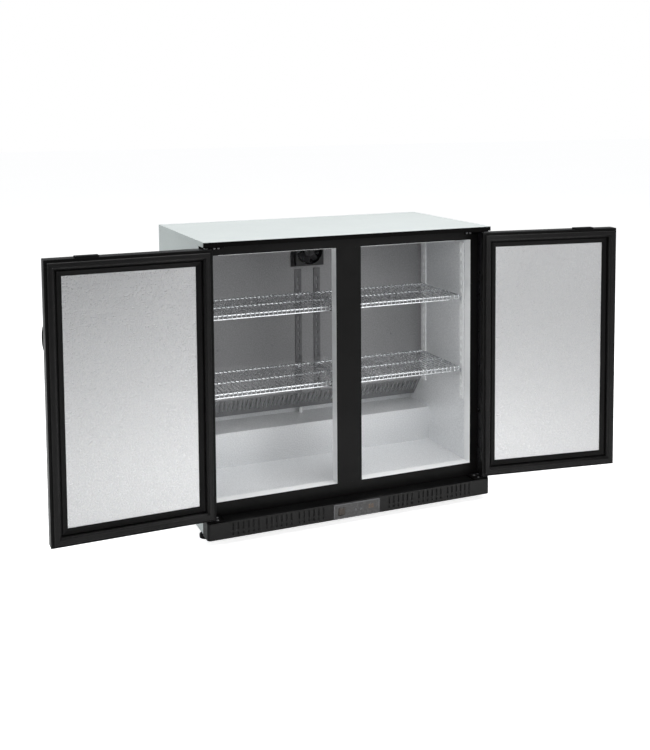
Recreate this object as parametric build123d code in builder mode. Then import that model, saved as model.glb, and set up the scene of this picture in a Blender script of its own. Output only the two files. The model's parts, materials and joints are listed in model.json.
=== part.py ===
"""A two-door undercounter bottle refrigerator with solid hinged doors, shown with both doors open.

Millimetres, +Z up. The origin is on the floor under the middle of the whole outline, X runs to the
right along the front and Y runs back. Depths below are measured back from the cabinet's front plane,
which is at Y = FRONT, and heights are measured from the floor.
"""

from build123d import *
from math import cos, radians, sin
import os

os.makedirs("parts", exist_ok=True)

# Cabinet outline
WIDTH = 900.0
DEPTH = 500.0
HEIGHT = 850.0
FRONT = -212.0
HALF = WIDTH / 2
SHEET = 1.2
SKIN = HALF - SHEET  # inner face of the side panels
BACK = DEPTH - SHEET  # inner face of the back panel

# Worktop and the black strip under its front edge
FOLD_Z = 836.0
STRIP_FACE = 2.5
STRIP_FLANGE = 2.0
PLATE_Z = HEIGHT - SHEET

# Front frame with its two openings
FRAME_D = 48.0
FRAME_T = 2.5
TRIM_T = 2.5
LINER_D = 83.5
LEDGE_Z = 67.0
OPEN_IN = 39.0
OPEN_OUT = 409.5
OPEN_Z0 = 107.0
OPEN_Z1 = 806.0
TRIM_D = FRAME_D + FRAME_T

# Storage space
INNER_X = 412.0
FLOOR_Z = 104.0
CEILING_Z = 808.5
REAR_D = 455.0
STEP_D = 322.0
STEP_Z = 212.0
LINER_T = 1.0

# Machinery bay under the step
BAY_D = 350.0
BAY_Z = 184.0
PAN_Z = 22.0
PAN_T = 2.0
DECK_Z = PAN_Z + PAN_T
SIDE_Z0 = 26.0
GRILLE_Z0 = 20.0
GRILLE_WALL = 2.5

# Doors: s runs from the hinge axis to the free edge, t from the axis towards the inner face
HINGE_X = 438.2
HINGE_D = 17.7
LEFT_ANGLE = 178.97
RIGHT_ANGLE = 171.34
DOOR_S0 = -12.0
DOOR_S1 = 434.0
DOOR_Z0 = 77.5
DOOR_Z1 = 830.5
FACE_T = -18.0
TRAY_T = 9.0
RING_T = 21.5
GASKET_T = 29.6
DOOR_SHEET = 1.0
LINING_INSET = 38.0
PIN_R = 4.0
BUSH_R = 7.0
BUSH_LENGTH = 20.0
RUNNING_FIT = 0.05

# Door lock
LOCK_S = 324.0
LOCK_Z = 812.0
BARREL_R = 8.0
SLEEVE_R = 11.0
CAM_T0 = 4.0
CAM_T1 = 7.0
CAM_REACH = 30.0
CAM_WIDTH = 9.0
CAM_SLOT = (316.0, 351.0)

# Wire shelves
WIRE_R = 1.6
ROD_R = 2.5
WELD = 0.4
SHELF_X = (7.5, 399.5)
SHELF_D = (101.0, 221.0, 342.0)
WIRE_COUNT = 29
LIP_DROP = 15.0
LIP_R = 2.0
UPPER_DECK_Z = 630.0
LOWER_DECK_Z = 404.0

# Evaporator at the rear, behind its cover
COVER_D = 375.0
COVER_BEND_Z = 300.0
COVER_FOOT_D = 428.0
COVER_FOOT_Z = 233.0
FAN_Z = 758.0
FAN_D = 350.0
COIL_X = 330.0
COIL_D = 415.0
COIL_Z = [440.0 + 24.0 * row for row in range(8)]
PIPE_D = 442.0
SUCTION_X = -370.0
CAPILLARY_X = -385.0
DRAIN_R = 6.0
SUCTION_R = 5.0
CAPILLARY_R = 1.5

# Compressor and condenser in the bay
COMPRESSOR_X = -250.0
COMPRESSOR_D = 415.0
COMPRESSOR_R = 58.0
CONDENSER_X0 = 90.0
CONDENSER_X1 = 330.0
CONDENSER_D = 380.0
CONDENSER_Z = [45.0 + 24.0 * row for row in range(6)]
COOLING_FAN_X = 210.0
COOLING_FAN_Z = 103.0

# Control panel in the middle of the kick grille
PANEL_X = 73.0
PANEL_Z0 = 20.5
PANEL_Z1 = 64.0
LENS_X = 70.0
LENS_Z0 = 23.5
LENS_Z1 = 61.0
BUTTON_Z = 42.0
BUTTON_X = {"up_button": 12.0, "down_button": -4.0}
SWITCH_X = -48.0
SWITCH_D = 3.0
SWITCH_TILT = 7.0


# Shapes placed by width, depth and height --------------------------------------------------------


def slab(x0, x1, d0, d1, z0, z1, mode=Mode.ADD):
    """A block between two widths, two depths and two heights."""
    with BuildSketch(Plane.XY.offset(z0)) as outline:
        with Locations(((x0 + x1) / 2, FRONT + (d0 + d1) / 2)):
            Rectangle(x1 - x0, d1 - d0)
    extrude(outline.sketch, amount=z1 - z0, mode=mode)


def prism(points, x0, x1, mode=Mode.ADD):
    """A bar along X whose section is given as (depth, height) points."""
    with BuildSketch(Plane.YZ.offset(x0)) as section:
        with BuildLine():
            Polyline(*[(FRONT + d, z) for d, z in points], close=True)
        make_face()
    extrude(section.sketch, amount=x1 - x0, mode=mode)


def post(x, d, radius, z0, z1, mode=Mode.ADD):
    """A round bar along Z."""
    with BuildSketch(Plane.XY.offset(z0)) as section:
        with Locations((x, FRONT + d)):
            Circle(radius)
    extrude(section.sketch, amount=z1 - z0, mode=mode)


def axle(x, z, radius, d0, d1, mode=Mode.ADD):
    """A round bar along Y."""
    with BuildSketch(Plane.XZ.offset(-(FRONT + d0))) as section:
        with Locations((x, z)):
            Circle(radius)
    extrude(section.sketch, amount=d0 - d1, mode=mode)


def rod(d, z, radius, x0, x1, mode=Mode.ADD):
    """A round bar along X."""
    with BuildSketch(Plane.YZ.offset(x0)) as section:
        with Locations((FRONT + d, z)):
            Circle(radius)
    extrude(section.sketch, amount=x1 - x0, mode=mode)


def slots(xs, width, z0, z1, d0, d1):
    """Cuts a row of upright slots through a wall that faces the front."""
    with BuildSketch(Plane.XZ.offset(-(FRONT + d0))) as row:
        with Locations(*[(x, (z0 + z1) / 2) for x in xs]):
            Rectangle(width, z1 - z0)
    extrude(row.sketch, amount=d0 - d1, mode=Mode.SUBTRACT)


def pipe(points, radius, bend):
    """A tube that follows (x, depth, height) corners, rounded to one bend radius."""
    with BuildLine() as route:
        FilletPolyline(*[(x, FRONT + d, z) for x, d, z in points], radius=bend)
    start = Plane(origin=route.line @ 0, z_dir=route.line % 0)
    with BuildSketch(start) as section:
        Circle(radius)
    sweep(section.sketch, path=route.line)


def sides(x0, x1):
    """The same span of widths on the left and on the right of the cabinet."""
    return ((-x1, -x0), (x0, x1))


def save(part, label):
    """Names a finished piece and writes its file."""
    part.label = label
    export_step(part, f"parts/{label}.step")


# Screws and holes that several pieces share ------------------------------------------------------

SCREW_R = 2.0
LEDGE_SCREWS = [(side * x, d) for side in (-1, 1) for x, d in ((414, 31), (432, 38), (418, 12))]
BRACKET_SCREWS = [(side * x, 827.5) for side in (-1, 1) for x in (394, 406)]
FEET = [(x, d) for x in (-430, 430) for d in (85, 455)]


def ledge_holes(z0, z1):
    """Clears the upright screws of the bottom hinge plates."""
    for x, d in LEDGE_SCREWS:
        post(x, d, SCREW_R, z0, z1, Mode.SUBTRACT)


def bracket_holes(d0, d1):
    """Clears the screws of the top hinge brackets."""
    for x, z in BRACKET_SCREWS:
        axle(x, z, SCREW_R, d0, d1, Mode.SUBTRACT)


def service_holes(z0, z1):
    """Clears the drain tube and the two refrigerant lines through the step."""
    gap = 0.5
    post(0, PIPE_D, DRAIN_R + gap, z0, z1, Mode.SUBTRACT)
    post(SUCTION_X, PIPE_D, SUCTION_R + gap, z0, z1, Mode.SUBTRACT)
    post(CAPILLARY_X, PIPE_D, CAPILLARY_R + gap, z0, z1, Mode.SUBTRACT)


# Outer casing ------------------------------------------------------------------------------------

with BuildPart() as worktop:
    slab(-HALF, HALF, 0, DEPTH, PLATE_Z, HEIGHT)
    for x0, x1 in sides(SKIN, HALF):
        slab(x0, x1, STRIP_FACE, DEPTH, FOLD_Z, PLATE_Z)
    slab(-SKIN, SKIN, BACK, DEPTH, FOLD_Z, PLATE_Z)
save(worktop.part, "worktop")

with BuildPart() as front_strip:
    slab(-HALF, HALF, 0, STRIP_FACE, FOLD_Z, PLATE_Z)
    slab(-SKIN, SKIN, STRIP_FACE, FRAME_D, PLATE_Z - STRIP_FLANGE, PLATE_Z)
    slab(-SKIN, SKIN, STRIP_FACE, FRAME_D, FOLD_Z, FOLD_Z + STRIP_FLANGE)
    for side in (-1, 1):
        near, far = [side * (HINGE_X - s) for s in CAM_SLOT]
        cam_d0 = HINGE_D + CAM_T0 - 2
        cam_d1 = HINGE_D + CAM_T1 + 2
        slab(min(near, far), max(near, far), cam_d0, cam_d1, FOLD_Z, FOLD_Z + STRIP_FLANGE, Mode.SUBTRACT)
save(front_strip.part, "front_strip")

for name, (x0, x1) in zip(("left_side_panel", "right_side_panel"), sides(SKIN, HALF)):
    with BuildPart() as side_panel:
        slab(x0, x1, FRAME_D, DEPTH, SIDE_Z0, FOLD_Z - 0.4)
    save(side_panel.part, name)

with BuildPart() as back_panel:
    slab(-SKIN, SKIN, BACK, DEPTH, BAY_Z + SHEET, FOLD_Z - 0.4)
save(back_panel.part, "back_panel")

with BuildPart() as cabinet_floor:
    slab(-SKIN, SKIN, TRIM_D, BAY_D - SHEET, LEDGE_Z, LEDGE_Z + SHEET)
with BuildPart() as bay_wall:
    slab(-SKIN, SKIN, BAY_D - SHEET, BAY_D, LEDGE_Z, BAY_Z)
with BuildPart() as bay_roof:
    slab(-SKIN, SKIN, BAY_D - SHEET, BACK, BAY_Z, BAY_Z + SHEET)
    service_holes(BAY_Z, BAY_Z + SHEET)
save(Compound(children=[cabinet_floor.part, bay_wall.part, bay_roof.part]), "bottom_panel")

with BuildPart() as insulation_foam:
    slab(-SKIN, SKIN, TRIM_D, BACK, LEDGE_Z + SHEET, PLATE_Z)
    slab(-SKIN, SKIN, BAY_D - SHEET, BACK, LEDGE_Z + SHEET, BAY_Z + SHEET, Mode.SUBTRACT)
    shell_x = INNER_X + LINER_T
    shell_top = CEILING_Z + LINER_T
    slab(-shell_x, shell_x, LINER_D, STEP_D + LINER_T, FLOOR_Z - LINER_T, shell_top, Mode.SUBTRACT)
    slab(-shell_x, shell_x, STEP_D, REAR_D + LINER_T, STEP_Z - LINER_T, shell_top, Mode.SUBTRACT)
    slab(
        -INNER_X - TRIM_T,
        INNER_X + TRIM_T,
        TRIM_D,
        LINER_D,
        OPEN_Z0 - 2 * TRIM_T,
        OPEN_Z1 + 2 * TRIM_T,
        Mode.SUBTRACT,
    )
    service_holes(BAY_Z, STEP_Z)
    bracket_holes(TRIM_D, LINER_D)
with BuildPart() as mullion_foam:
    slab(-OPEN_IN + 2 * TRIM_T, OPEN_IN - 2 * TRIM_T, TRIM_D, LINER_D, OPEN_Z0, OPEN_Z1)
save(Compound(children=[insulation_foam.part, mullion_foam.part]), "insulation_foam")

# Inner liner, six bent sheets --------------------------------------------------------------------

with BuildPart() as liner:
    for x0, x1 in sides(INNER_X, INNER_X + LINER_T):
        prism(
            (
                (LINER_D, FLOOR_Z - LINER_T),
                (STEP_D + LINER_T, FLOOR_Z - LINER_T),
                (STEP_D + LINER_T, STEP_Z - LINER_T),
                (REAR_D + LINER_T, STEP_Z - LINER_T),
                (REAR_D + LINER_T, CEILING_Z + LINER_T),
                (LINER_D, CEILING_Z + LINER_T),
            ),
            x0,
            x1,
        )
    slab(-INNER_X, INNER_X, LINER_D, REAR_D + LINER_T, CEILING_Z, CEILING_Z + LINER_T)
    slab(-INNER_X, INNER_X, REAR_D, REAR_D + LINER_T, STEP_Z - LINER_T, CEILING_Z)
    slab(-INNER_X, INNER_X, STEP_D, REAR_D, STEP_Z - LINER_T, STEP_Z)
    slab(-INNER_X, INNER_X, STEP_D, STEP_D + LINER_T, FLOOR_Z - LINER_T, STEP_Z)
    slab(-INNER_X, INNER_X, LINER_D, STEP_D, FLOOR_Z - LINER_T, FLOOR_Z)
    service_holes(STEP_Z - LINER_T, STEP_Z)
save(liner.part, "liner")

# Front frame -------------------------------------------------------------------------------------


def rail(z0, z1, flange_z0, flange_z1):
    """One rail of the front frame, with the flange that carries the trim."""
    with BuildPart() as piece:
        slab(-SKIN, SKIN, FRAME_D, TRIM_D, z0, z1)
        slab(-INNER_X - TRIM_T, INNER_X + TRIM_T, TRIM_D, LINER_D, flange_z0, flange_z1)
        bracket_holes(FRAME_D, TRIM_D)
    return piece.part


def frame_post(x0, x1, flange_x0, flange_x1):
    """One upright of the front frame, with the flange that carries the trim."""
    with BuildPart() as piece:
        slab(x0, x1, FRAME_D, TRIM_D, OPEN_Z0, OPEN_Z1)
        slab(flange_x0, flange_x1, TRIM_D, LINER_D, OPEN_Z0 - TRIM_T, OPEN_Z1 + TRIM_T)
    return piece.part


frame_pieces = [
    rail(OPEN_Z1, FOLD_Z, OPEN_Z1 + TRIM_T, OPEN_Z1 + 2 * TRIM_T),
    rail(LEDGE_Z, OPEN_Z0, OPEN_Z0 - 2 * TRIM_T, OPEN_Z0 - TRIM_T),
    frame_post(-SKIN, -OPEN_OUT, -INNER_X - TRIM_T, -INNER_X),
    frame_post(OPEN_OUT, SKIN, INNER_X, INNER_X + TRIM_T),
]
save(Compound(children=frame_pieces), "face_frame")

with BuildPart() as mullion_channel:
    slab(-OPEN_IN, OPEN_IN, FRAME_D, TRIM_D, OPEN_Z0, OPEN_Z1)
    for x0, x1 in sides(OPEN_IN - 2 * TRIM_T, OPEN_IN - TRIM_T):
        slab(x0, x1, TRIM_D, LINER_D, OPEN_Z0, OPEN_Z1)
with BuildPart() as mullion_back:
    slab(-OPEN_IN + TRIM_T, OPEN_IN - TRIM_T, LINER_D, LINER_D + 1.5, FLOOR_Z, CEILING_Z)
save(Compound(children=[mullion_channel.part, mullion_back.part]), "mullion")

trims = []
for side in (-1, 1):
    spans = (
        (OPEN_OUT, INNER_X, OPEN_Z0 - TRIM_T, OPEN_Z1 + TRIM_T),
        (OPEN_IN - TRIM_T, OPEN_IN, OPEN_Z0 - TRIM_T, OPEN_Z1 + TRIM_T),
        (OPEN_IN, OPEN_OUT, OPEN_Z1, OPEN_Z1 + TRIM_T),
        (OPEN_IN, OPEN_OUT, OPEN_Z0 - TRIM_T, OPEN_Z0),
    )
    for near, far, z0, z1 in spans:
        x0, x1 = sorted((side * near, side * far))
        with BuildPart() as trim:
            slab(x0, x1, TRIM_D, LINER_D, z0, z1)
        trims.append(trim.part)
save(Compound(children=trims), "opening_trims")

# Kick grille, base and feet ----------------------------------------------------------------------


def rounded_front(half, d0, d1, z0, z1, radius, mode=Mode.ADD):
    """A block across the cabinet whose two front corners are rounded."""
    with BuildSketch(Plane.XY.offset(z0)) as outline:
        with Locations((0, FRONT + (d0 + d1) / 2)):
            Rectangle(2 * half, d1 - d0)
        fillet(outline.vertices().group_by(Axis.Y)[0], radius)
    extrude(outline.sketch, amount=z1 - z0, mode=mode)


SLOT_PITCH = 15.0
SLOT_WIDTH = 5.0
SLOT_GROUPS = (143.0, 241.5, 340.0)
GRILLE_SLOTS = [
    side * (group + SLOT_PITCH * (place - 2.5))
    for side in (-1, 1)
    for group in SLOT_GROUPS
    for place in range(6)
]

with BuildPart() as kick_grille:
    rounded_front(HALF, 0, FRAME_D, GRILLE_Z0, LEDGE_Z, 10)
    rounded_front(
        HALF - GRILLE_WALL,
        GRILLE_WALL,
        FRAME_D,
        GRILLE_Z0,
        LEDGE_Z - GRILLE_WALL,
        10 - GRILLE_WALL,
        Mode.SUBTRACT,
    )
    slots(GRILLE_SLOTS, SLOT_WIDTH, 41, 62, 0, GRILLE_WALL)
    slots(GRILLE_SLOTS, SLOT_WIDTH, 28, 36, 0, GRILLE_WALL)
    slab(-LENS_X, LENS_X, 0, GRILLE_WALL, LENS_Z0, LENS_Z1, Mode.SUBTRACT)
    ledge_holes(LEDGE_Z - GRILLE_WALL, LEDGE_Z)
filters = []
for side in (-1, 1):
    x0, x1 = sorted((side * 95, side * 390))
    with BuildPart() as dust_filter:
        slab(x0, x1, GRILLE_WALL, GRILLE_WALL + 2, GRILLE_Z0 + 4, LEDGE_Z - GRILLE_WALL)
    filters.append(dust_filter.part)
save(Compound(children=[kick_grille.part] + filters), "kick_grille")

with BuildPart() as base_plate:
    slab(-SKIN, SKIN, TRIM_D, BACK, PAN_Z, DECK_Z)
    for x0, x1 in sides(SKIN - SHEET, SKIN):
        slab(x0, x1, TRIM_D, BACK, DECK_Z, LEDGE_Z)
    for x0, x1 in sides(398, 444):
        slab(x0, x1, FRAME_D, TRIM_D, PAN_Z, LEDGE_Z - GRILLE_WALL)
    for x, d in FEET:
        post(x, d, 5.2, PAN_Z, DECK_Z, Mode.SUBTRACT)
save(base_plate.part, "base_plate")

feet = []
for x, d in FEET:
    with BuildPart() as foot:
        post(x, d, 20, 0, 11)
        chamfer(foot.edges().group_by(Axis.Z)[-1], 2)
        post(x, d, 11, 11, PAN_Z)
        post(x, d, 5, PAN_Z, 40)
    with BuildPart() as nut:
        with BuildSketch(Plane.XY.offset(DECK_Z)):
            with Locations((x, FRONT + d)):
                RegularPolygon(8.5, 6)
                Circle(5, mode=Mode.SUBTRACT)
        extrude(amount=6)
    feet += [foot.part, nut.part]
save(Compound(children=feet), "levelling_feet")

REAR_SLOTS = [-390.0 + 20.0 * place for place in range(36)]
INLET_X = (352.0, 408.0)
INLET_Z = (46.0, 84.0)

with BuildPart() as rear_grille:
    slab(-SKIN, SKIN, BACK, DEPTH, SIDE_Z0, BAY_Z + SHEET)
    for z0 in (44, 90, 136):
        slots(REAR_SLOTS, 7, z0, z0 + 34, BACK, DEPTH)
    slab(INLET_X[0] + 4, INLET_X[1] - 4, BACK, DEPTH, INLET_Z[0] + 4, INLET_Z[1] - 4, Mode.SUBTRACT)
save(rear_grille.part, "rear_grille")

with BuildPart() as mains_inlet:
    slab(INLET_X[0], INLET_X[1], BACK - 2, BACK, INLET_Z[0], INLET_Z[1])
    slab(INLET_X[0] + 4, INLET_X[1] - 4, BACK - 24, DEPTH, INLET_Z[0] + 4, INLET_Z[1] - 4)
    slab(INLET_X[0] + 14, INLET_X[1] - 14, BACK - 18, DEPTH, INLET_Z[0] + 10, INLET_Z[1] - 10, Mode.SUBTRACT)
    for pin_x, pin_z in ((-7, -3), (7, -3), (0, 4)):
        middle = sum(INLET_X) / 2 + pin_x
        height = sum(INLET_Z) / 2 + pin_z
        slab(middle - 1.2, middle + 1.2, BACK - 18, BACK - 4, height - 2, height + 2)
save(mains_inlet.part, "mains_inlet")

# Control panel -----------------------------------------------------------------------------------

BEZEL_D = -1.5
BOX_D = 32.0
BOX_WALL = 2.0

with BuildPart() as housing_box:
    slab(-PANEL_X, PANEL_X, BEZEL_D, 0, PANEL_Z0, PANEL_Z1)
    slab(-LENS_X, LENS_X, BEZEL_D, 0, LENS_Z0, LENS_Z1, Mode.SUBTRACT)
    slab(-LENS_X, LENS_X, 0, BOX_D, LENS_Z0, LENS_Z1)
    slab(
        -LENS_X + BOX_WALL,
        LENS_X - BOX_WALL,
        0,
        BOX_D - BOX_WALL,
        LENS_Z0 + BOX_WALL,
        LENS_Z1 - BOX_WALL,
        Mode.SUBTRACT,
    )
with BuildPart() as switch_socket:
    slab(SWITCH_X - 13, SWITCH_X + 13, 1, 28, 30, 54)
    slab(SWITCH_X - 10.2, SWITCH_X + 10.2, 1, 14, 30, 54, Mode.SUBTRACT)
    rod(SWITCH_D, BUTTON_Z, 1.55, SWITCH_X - 13, SWITCH_X + 13, Mode.SUBTRACT)
save(Compound(children=[housing_box.part, switch_socket.part]), "control_housing")

with BuildPart() as control_window:
    slab(-LENS_X, LENS_X, BEZEL_D + 0.3, 0, LENS_Z0, LENS_Z1)
    for x in BUTTON_X.values():
        axle(x, BUTTON_Z, 4.3, BEZEL_D, 0, Mode.SUBTRACT)
    slab(SWITCH_X - 10.4, SWITCH_X + 10.4, BEZEL_D, 0, BUTTON_Z - 11, BUTTON_Z + 11, Mode.SUBTRACT)
save(control_window.part, "control_window")

with BuildPart() as thermostat:
    slab(-14, 66, 5, BOX_D - BOX_WALL, 28, 57)
save(thermostat.part, "thermostat")

for name, x in BUTTON_X.items():
    with BuildPart() as button:
        axle(x, BUTTON_Z, 4, -2.4, 1.5)
        fillet(button.edges().group_by(Axis.Y)[0], 0.8)
        axle(x, BUTTON_Z, 6, 1.5, 3.2)
    save(button.part, name)

with BuildPart() as power_switch:
    slab(SWITCH_X - 9.6, SWITCH_X + 9.6, -3, 8, BUTTON_Z - 9.6, BUTTON_Z + 9.6)
    fillet(power_switch.edges().group_by(Axis.Y)[0], 1.5)
    rod(SWITCH_D, BUTTON_Z, 1.5, SWITCH_X - 12, SWITCH_X + 12)
switch_axis = Axis((SWITCH_X, FRONT + SWITCH_D, BUTTON_Z), (1, 0, 0))
save(power_switch.part.rotate(switch_axis, -SWITCH_TILT), "power_switch")

# Hinge plates, pins and screws on the cabinet -----------------------------------------------------

PLATE_TOP = LEDGE_Z + 4.5
BRACKET_Z = 832.8
BRACKET_T = 3.0
FLANGE_D = 45.5

plates = []
pins = []
for side in (-1, 1):
    x0, x1 = sorted((side * 398, side * HALF))
    with BuildPart() as bottom_plate:
        slab(x0, x1, 3, FRAME_D, LEDGE_Z, PLATE_TOP)
        fillet(bottom_plate.edges().filter_by(Axis.Z).group_by(Axis.Y)[0], 8)
        post(side * HINGE_X, HINGE_D, PIN_R, LEDGE_Z, PLATE_TOP, Mode.SUBTRACT)
        ledge_holes(LEDGE_Z, PLATE_TOP)
    x0, x1 = sorted((side * 386, side * SKIN))
    with BuildPart() as top_bracket:
        slab(x0, x1, 6, FRAME_D, BRACKET_Z, BRACKET_Z + BRACKET_T)
        fillet(top_bracket.edges().filter_by(Axis.Z).group_by(Axis.Y)[0], 8)
        slab(x0, x1, FLANGE_D, FRAME_D, 822.5, BRACKET_Z)
        post(side * HINGE_X, HINGE_D, PIN_R, BRACKET_Z, BRACKET_Z + BRACKET_T, Mode.SUBTRACT)
        bracket_holes(FLANGE_D, FRAME_D)
    with BuildPart() as bottom_pin:
        post(side * HINGE_X, HINGE_D, PIN_R, LEDGE_Z, 95)
        post(side * HINGE_X, HINGE_D, BUSH_R - 0.5, PLATE_TOP, DOOR_Z0 - 0.4)
    with BuildPart() as top_pin:
        post(side * HINGE_X, HINGE_D, PIN_R, 813, BRACKET_Z + BRACKET_T)
        post(side * HINGE_X, HINGE_D, BUSH_R - 0.5, DOOR_Z1 + 0.4, BRACKET_Z)
    plates += [bottom_plate.part, top_bracket.part]
    pins += [bottom_pin.part, top_pin.part]
save(Compound(children=plates), "hinge_plates")
save(Compound(children=pins), "hinge_pins")

HEAD_R = 3.8
HEAD_T = 1.8
screws = []
for x, d in LEDGE_SCREWS:
    with BuildPart() as screw:
        post(x, d, HEAD_R, PLATE_TOP, PLATE_TOP + HEAD_T)
        fillet(screw.edges().group_by(Axis.Z)[-1], 1)
        post(x, d, SCREW_R, LEDGE_Z - GRILLE_WALL - 6, PLATE_TOP)
    screws.append(screw.part)
for x, z in BRACKET_SCREWS:
    with BuildPart() as screw:
        axle(x, z, HEAD_R, FLANGE_D - HEAD_T, FLANGE_D)
        fillet(screw.edges().group_by(Axis.Y)[0], 1)
        axle(x, z, SCREW_R, FLANGE_D, 62)
    screws.append(screw.part)
save(Compound(children=screws), "hinge_screws")

# Evaporator cover, coil, tray and lamp ------------------------------------------------------------

COVER_SLOTS = [SLOT_PITCH * (place - 26.5) for place in range(54)]

with BuildPart() as evaporator_cover:
    prism(
        (
            (COVER_D, CEILING_Z),
            (COVER_D + 1, CEILING_Z),
            (COVER_D + 1, COVER_BEND_Z + 0.4),
            (COVER_FOOT_D + 0.8, COVER_FOOT_Z + 0.6),
            (COVER_FOOT_D, COVER_FOOT_Z),
            (COVER_D, COVER_BEND_Z),
        ),
        -INNER_X,
        INNER_X,
    )
    slots(COVER_SLOTS, SLOT_WIDTH, 252, 292, COVER_D, COVER_FOOT_D + 8)
    slots(COVER_SLOTS, SLOT_WIDTH, 310, 328, COVER_D, COVER_D + 1)
    axle(0, FAN_Z, 43, COVER_D, COVER_D + 1, Mode.SUBTRACT)
save(evaporator_cover.part, "evaporator_cover")


def serpentine(x0, x1, d, heights, radius, lead):
    """One tube in level passes joined by return bends; both its ends are on the left."""
    with BuildLine() as route:
        Line((x0 - lead, FRONT + d, heights[0]), (x0, FRONT + d, heights[0]))
        for row, z in enumerate(heights):
            ends = ((x0, z), (x1, z)) if row % 2 == 0 else ((x1, z), (x0, z))
            Line(*[(x, FRONT + d, height) for x, height in ends])
            if row + 1 < len(heights):
                turn_x = ends[1][0]
                gap = heights[row + 1] - z
                bulge = gap / 2 if row % 2 == 0 else -gap / 2
                ThreePointArc(
                    (turn_x, FRONT + d, z),
                    (turn_x + bulge, FRONT + d, z + gap / 2),
                    (turn_x, FRONT + d, z + gap),
                )
        Line((x0, FRONT + d, heights[-1]), (x0 - lead, FRONT + d, heights[-1]))
    with BuildPart() as tube:
        with BuildSketch(Plane(origin=route.line @ 0, z_dir=route.line % 0)) as section:
            Circle(radius)
        sweep(section.sketch, path=route.line)
    return tube.part


def fins(xs, thickness, d0, d1, z0, z1, d, heights, radius):
    """Upright fin plates with holes for the tube's passes."""
    plates = []
    for x in xs:
        with BuildPart() as fin:
            slab(x, x + thickness, d0, d1, z0, z1)
            for z in heights:
                rod(d, z, radius, x, x + thickness, Mode.SUBTRACT)
        plates.append(fin.part)
    return plates


COIL_FINS = [-COIL_X + 16.5 * place for place in range(41)]
coil_tube = serpentine(-COIL_X, COIL_X, COIL_D, COIL_Z, 4.75, 22)
coil_fins = fins(COIL_FINS[1:-1], 0.8, 385, 445, 424, 624, COIL_D, COIL_Z, 4.85)
save(Compound(children=[coil_tube, *coil_fins]), "evaporator_coil")

with BuildPart() as drip_tray:
    slab(-345, 345, 382, 452, 395, 410)
    slab(-344, 344, 383, 451, 396, 410, Mode.SUBTRACT)
    post(0, PIPE_D, DRAIN_R, 150, 396)
    post(0, PIPE_D, DRAIN_R - 1, 150, 396, Mode.SUBTRACT)
save(drip_tray.part, "drip_tray")

with BuildPart() as led_lamp:
    prism(((92, 808.5), (92, 802), (96, 798.5), (106, 798.5), (110, 802), (110, 808.5)), -380, 380)
save(led_lamp.part, "led_lamp")


def spider(x, z, bore, hub, d0, d1, width, arms):
    """Arms that hold a motor in the middle of a round opening."""
    for arm in range(arms):
        angle = 360 / arms * arm + 90
        middle = bore / 2
        with BuildSketch(Plane.XZ.offset(-(FRONT + d0))) as section:
            centre = (x + middle * cos(radians(angle)), z + middle * sin(radians(angle)))
            with Locations(Location((*centre, 0), (0, 0, angle))):
                Rectangle(bore + 2, width)
        extrude(section.sketch, amount=d0 - d1)
    axle(x, z, hub, d0, d1)


def impeller(x, z, d0, d1, hub_r, shaft_r, tip_r, chord, count, pitch):
    """A moulded fan wheel that turns about an axis along Y."""
    with BuildPart() as wheel:
        axle(x, z, hub_r, d0, d1)
        for blade in range(count):
            angle = radians(360 / count * blade)
            lean = radians(pitch)
            out = Vector(cos(angle), 0, sin(angle))
            around = Vector(-sin(angle), 0, cos(angle))
            normal = Vector(0, 1, 0) * cos(lean) + around * sin(lean)
            centre = Vector(x, FRONT + (d0 + d1) / 2, z)
            with BuildSketch(Plane(origin=centre, x_dir=out, z_dir=normal)) as vane:
                with Locations(((hub_r - 2 + tip_r) / 2, 0)):
                    Rectangle(tip_r - hub_r + 2, chord)
                fillet(vane.vertices().group_by(Axis(centre, out))[-1], chord * 0.3)
            extrude(vane.sketch, amount=0.8, both=True)
        axle(x, z, shaft_r + RUNNING_FIT, d0, d1, Mode.SUBTRACT)
    return wheel.part


FAN_HALF = 46.0
FAN_BORE = 43.0
GUARD_WIRE_R = 1.0
GUARD_D = FAN_D - 1.2
GUARD_HALF = 44.0
with BuildPart() as fan_body:
    slab(-56.5, 56.5, COVER_D - 2, COVER_D, 707.5, CEILING_Z)
    slab(-FAN_HALF, FAN_HALF, FAN_D, COVER_D - 2, FAN_Z - FAN_HALF, FAN_Z + FAN_HALF)
    axle(0, FAN_Z, FAN_BORE, FAN_D, COVER_D, Mode.SUBTRACT)
    spider(0, FAN_Z, FAN_BORE, 16, COVER_D - 4, COVER_D, 5, 3)
    axle(0, FAN_Z, 2.5, 354, COVER_D - 4)
with BuildPart() as fan_guard:
    guard_plane = Plane(origin=(0, FRONT + GUARD_D, FAN_Z), x_dir=(1, 0, 0), z_dir=(0, -1, 0))
    with Locations(guard_plane):
        for ring in (14, 24, 34, 43.5):
            Torus(ring, GUARD_WIRE_R)
    rod(GUARD_D, FAN_Z, GUARD_WIRE_R, -GUARD_HALF, GUARD_HALF)
    post(0, GUARD_D, GUARD_WIRE_R, FAN_Z - GUARD_HALF, FAN_Z + GUARD_HALF)
save(Compound(children=[fan_body.part, fan_guard.part]), "evaporator_fan_frame")
save(impeller(0, FAN_Z, 353, 370, 17, 2.5, 39, 20, 7, 35), "evaporator_fan_blade")

# Shelf supports ----------------------------------------------------------------------------------

PILASTER_T = 2.5
PILASTER_W = 22.0
PILASTER_Z0 = 297.0
PILASTER_Z1 = 790.0
PILASTER_HOLES = [PILASTER_Z0 + 18 + 25.0 * place for place in range(19)]
MULLION_FACE_D = LINER_D + 1.5
CENTRE_X = 32.0
SEAT_GAP = 0.3


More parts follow.
